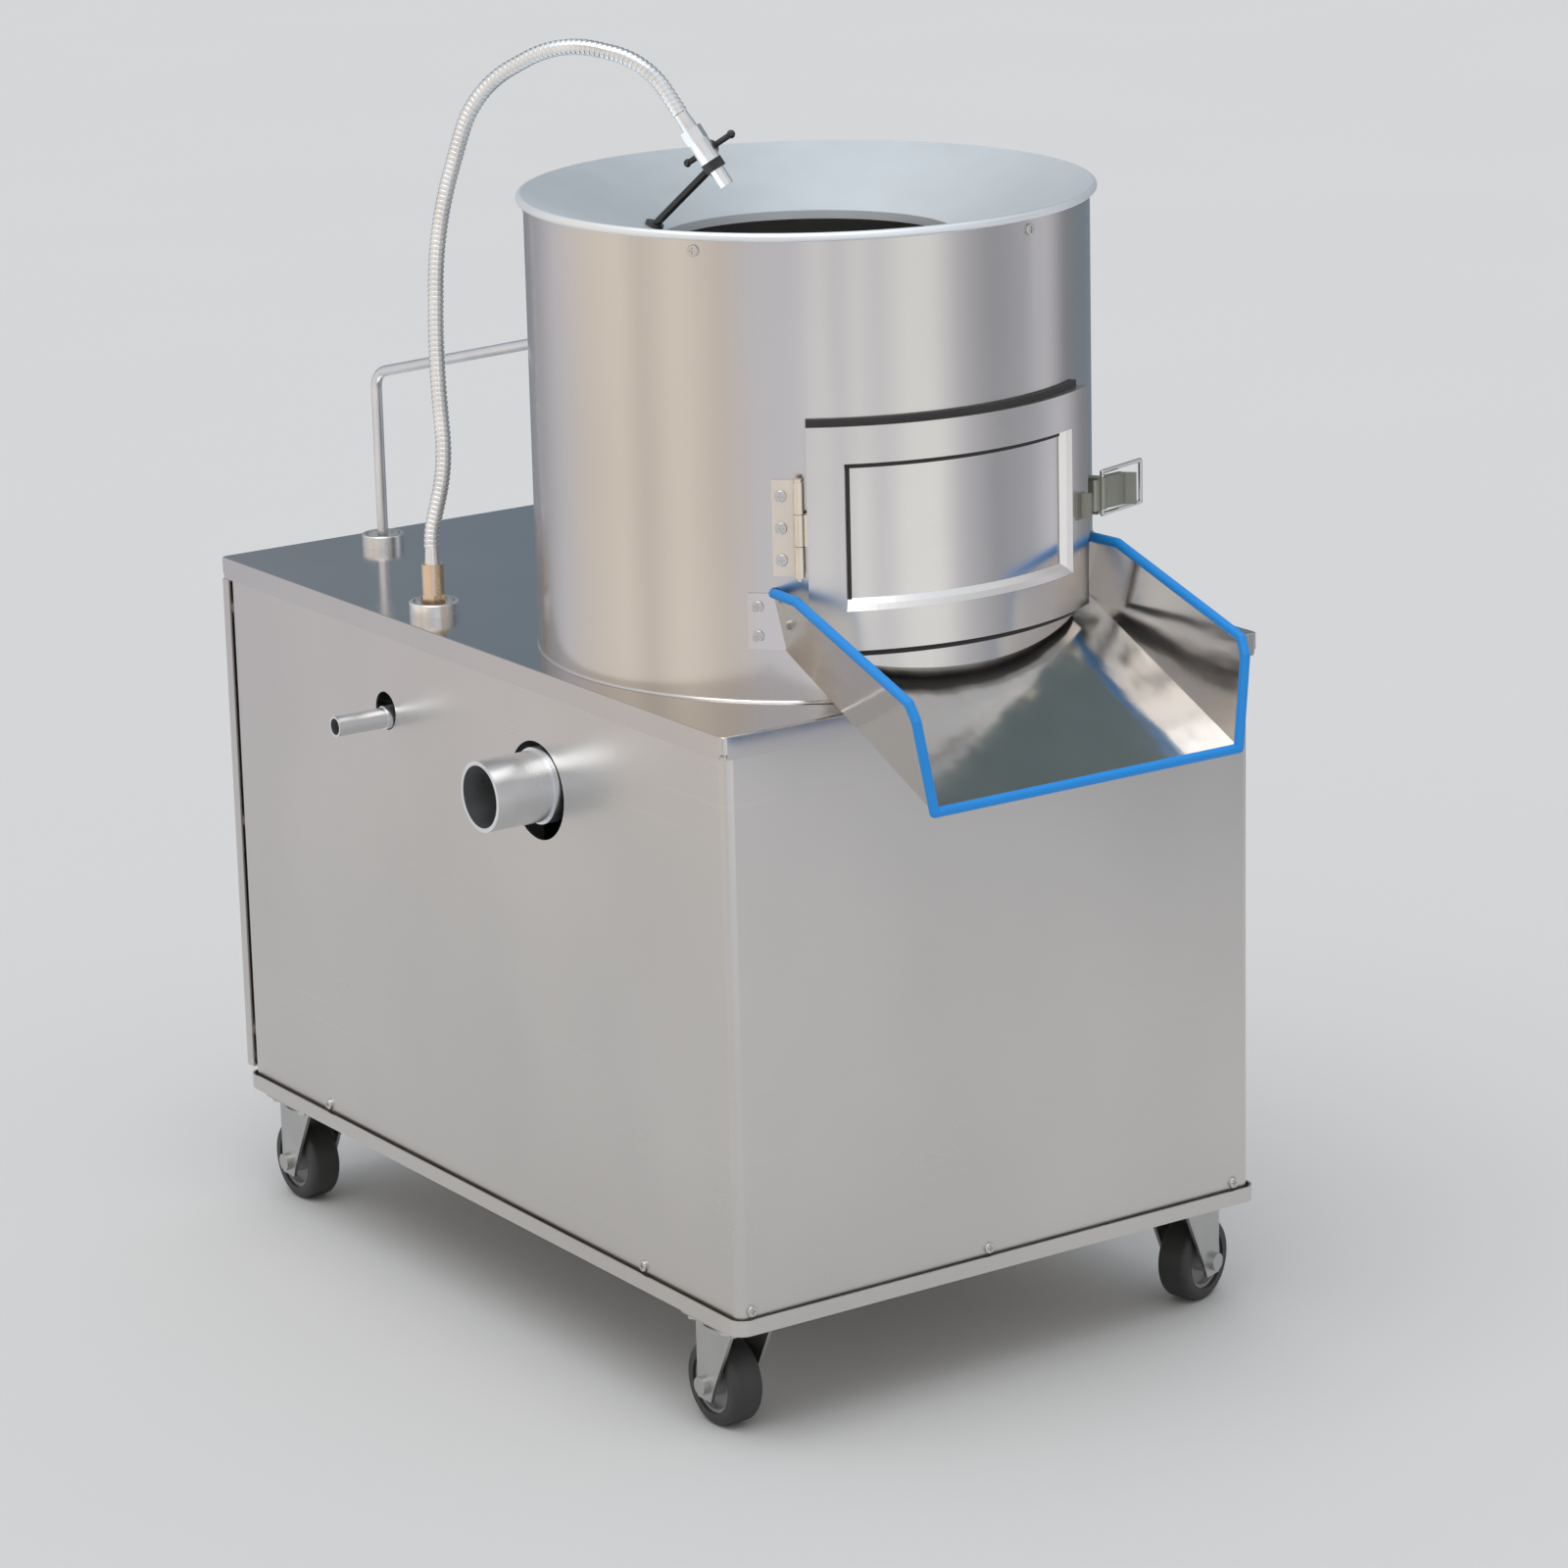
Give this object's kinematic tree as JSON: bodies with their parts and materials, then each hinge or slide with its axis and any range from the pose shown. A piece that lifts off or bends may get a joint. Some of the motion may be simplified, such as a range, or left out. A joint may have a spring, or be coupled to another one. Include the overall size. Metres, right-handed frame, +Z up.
{
  "type": "potato peeling machine",
  "caption": "Floor-standing potato peeler: abrasive drum on a cabinet with casters, side door and chute, water gooseneck and drain.",
  "frame": {"origin": "on the floor under the middle of the overall width and length", "axes": "+Z up, -Y towards the front with door and chute, +X the operator's right seen from behind the chute facing +Y"},
  "size_m": [0.5426, 0.8094, 0.9166],
  "materials": {
    "stainless_sheet": "fine satin grain",
    "polished_sheet": "near-mirror",
    "frame_steel": "semi-gloss grey",
    "fastener_steel": "bright",
    "abrasive": "coarse grit",
    "cast_iron": "as cast, turned faces",
    "machined_steel": "turned",
    "black_rubber": "matt",
    "motor_paint": "satin",
    "pipe_steel": "satin",
    "brass": "turned",
    "chrome": "bright",
    "black_plastic": "gloss",
    "black_paint": "satin",
    "latch_steel": "satin grey",
    "hinge_steel": "satin",
    "blue_edging": "satin",
    "switch_grey": "satin",
    "green_plastic": "gloss",
    "red_plastic": "gloss",
    "zinc_plate": "bright zinc",
    "caster_tread": "matt",
    "caster_hub": "satin"
  },
  "bodies": {
    "machine": {"base_frame": "stainless_sheet", "inner_frame": "frame_steel", "cabinet_panel": "stainless_sheet", "rear_cover": "stainless_sheet", "deck_plate": "stainless_sheet", "small_screws": "fastener_steel", "hex_bolts": "fastener_steel", "drum_shell": "stainless_sheet", "abrasive_lining": "abrasive", "feed_funnel": "stainless_sheet", "bearing_carrier": "cast_iron", "main_bearings": "machined_steel", "shaft_seal": "black_rubber", "v_belt": "black_rubber", "motor_bracket": "frame_steel", "motor_body": "motor_paint", "fan_cover": "motor_paint", "drain_pipe": "pipe_steel", "water_pipe": "pipe_steel", "deck_collars": "chrome", "hose_ferrule": "brass", "gooseneck_hose": "chrome", "tap_body": "chrome", "tap_rod": "black_paint", "spray_pipe": "pipe_steel", "hinge_leaf_fixed": "hinge_steel", "latch_base": "latch_steel", "chute_tray": "polished_sheet", "chute_edging": "blue_edging", "switch_box": "switch_grey", "cable_gland": "black_plastic", "caster_plates": "zinc_plate"},
    "rotor": {"peeling_disc": "abrasive", "disc_cap": "machined_steel", "main_shaft": "machined_steel", "driven_pulley": "cast_iron"},
    "motor_rotor": {"motor_shaft": "machined_steel", "motor_pulley": "cast_iron"},
    "door": {"door_frame": "stainless_sheet", "door_panel": "stainless_sheet", "door_seal": "black_rubber", "hinge_leaf_door": "hinge_steel", "latch_keeper": "latch_steel"},
    "latch_lever": {"latch_lever": "latch_steel"},
    "latch_bail": {"latch_bail": "chrome"},
    "tap_lever": {"tap_lever": "black_plastic"},
    "start_button": {"start_button": "green_plastic"},
    "stop_button": {"stop_button": "red_plastic"},
    "fork_front_left": {"caster_fork_front_left": "zinc_plate"},
    "wheel_front_left": {"caster_tyre_front_left": "caster_tread", "caster_hub_front_left": "caster_hub"},
    "fork_rear_left": {"caster_fork_rear_left": "zinc_plate"},
    "wheel_rear_left": {"caster_tyre_rear_left": "caster_tread", "caster_hub_rear_left": "caster_hub"},
    "fork_front_right": {"caster_fork_front_right": "zinc_plate"},
    "wheel_front_right": {"caster_tyre_front_right": "caster_tread", "caster_hub_front_right": "caster_hub"},
    "fork_rear_right": {"caster_fork_rear_right": "zinc_plate"},
    "wheel_rear_right": {"caster_tyre_rear_right": "caster_tread", "caster_hub_rear_right": "caster_hub"}
  },
  "joints": [
    {"name": "rotor_spin", "type": "hinge", "parent": "machine", "child": "rotor", "pos_m": [-0.01625, -0.0873, 0.522], "axis": [0, 0, 1], "continuous": true},
    {"name": "motor_spin", "type": "hinge", "parent": "machine", "child": "motor_rotor", "pos_m": [-0.01625, 0.2207, 0.176], "axis": [0, 0, 1], "continuous": true},
    {"name": "door_hinge", "type": "hinge", "parent": "machine", "child": "door", "pos_m": [-0.13799, -0.2485, 0.591], "axis": [0, 0, -1], "range_deg": [0, 60]},
    {"name": "latch_lever_hinge", "type": "hinge", "parent": "machine", "child": "latch_lever", "pos_m": [0.10672, -0.24756, 0.612], "axis": [0, 0, -1], "range_deg": [-30, 75]},
    {"name": "latch_bail_hinge", "type": "hinge", "parent": "latch_lever", "child": "latch_bail", "pos_m": [0.11465, -0.24651, 0.612], "axis": [0, 0, 1], "range_deg": [-152, 0]},
    {"name": "tap_turn", "type": "hinge", "parent": "machine", "child": "tap_lever", "pos_m": [-0.06099, -0.0301, 0.84093], "axis": [0.7836, 0.6213, 0], "range_deg": [0, 90]},
    {"name": "start_button_press", "type": "slide", "parent": "machine", "child": "start_button", "axis": [-1, 0, 0], "range_m": [0, 0.004], "stiffness_N_per_m": 400},
    {"name": "stop_button_press", "type": "slide", "parent": "machine", "child": "stop_button", "axis": [-1, 0, 0], "range_m": [0, 0.004], "stiffness_N_per_m": 400},
    {"name": "swivel_front_left", "type": "hinge", "parent": "machine", "child": "fork_front_left", "pos_m": [-0.19625, -0.2343, 0.0776], "axis": [0, 0, 1], "continuous": true},
    {"name": "roll_front_left", "type": "hinge", "parent": "fork_front_left", "child": "wheel_front_left", "pos_m": [-0.19625, -0.2203, 0.0305], "axis": [-1, 0, 0], "continuous": true},
    {"name": "swivel_rear_left", "type": "hinge", "parent": "machine", "child": "fork_rear_left", "pos_m": [-0.19625, 0.3457, 0.0776], "axis": [0, 0, 1], "continuous": true},
    {"name": "roll_rear_left", "type": "hinge", "parent": "fork_rear_left", "child": "wheel_rear_left", "pos_m": [-0.19625, 0.3597, 0.0305], "axis": [-1, 0, 0], "continuous": true},
    {"name": "swivel_front_right", "type": "hinge", "parent": "machine", "child": "fork_front_right", "pos_m": [0.19175, -0.2343, 0.0776], "axis": [0, 0, 1], "continuous": true},
    {"name": "roll_front_right", "type": "hinge", "parent": "fork_front_right", "child": "wheel_front_right", "pos_m": [0.20491, -0.22951, 0.0305], "axis": [-0.342, 0.9397, 0], "continuous": true},
    {"name": "swivel_rear_right", "type": "hinge", "parent": "machine", "child": "fork_rear_right", "pos_m": [0.19175, 0.3457, 0.0776], "axis": [0, 0, 1], "continuous": true},
    {"name": "roll_rear_right", "type": "hinge", "parent": "fork_rear_right", "child": "wheel_rear_right", "pos_m": [0.19654, 0.35886, 0.0305], "axis": [-0.9397, 0.342, 0], "continuous": true}
  ],
  "couplings": [
    {"joint": "motor_spin", "follows": "rotor_spin", "ratio": 2.8571}
  ]
}
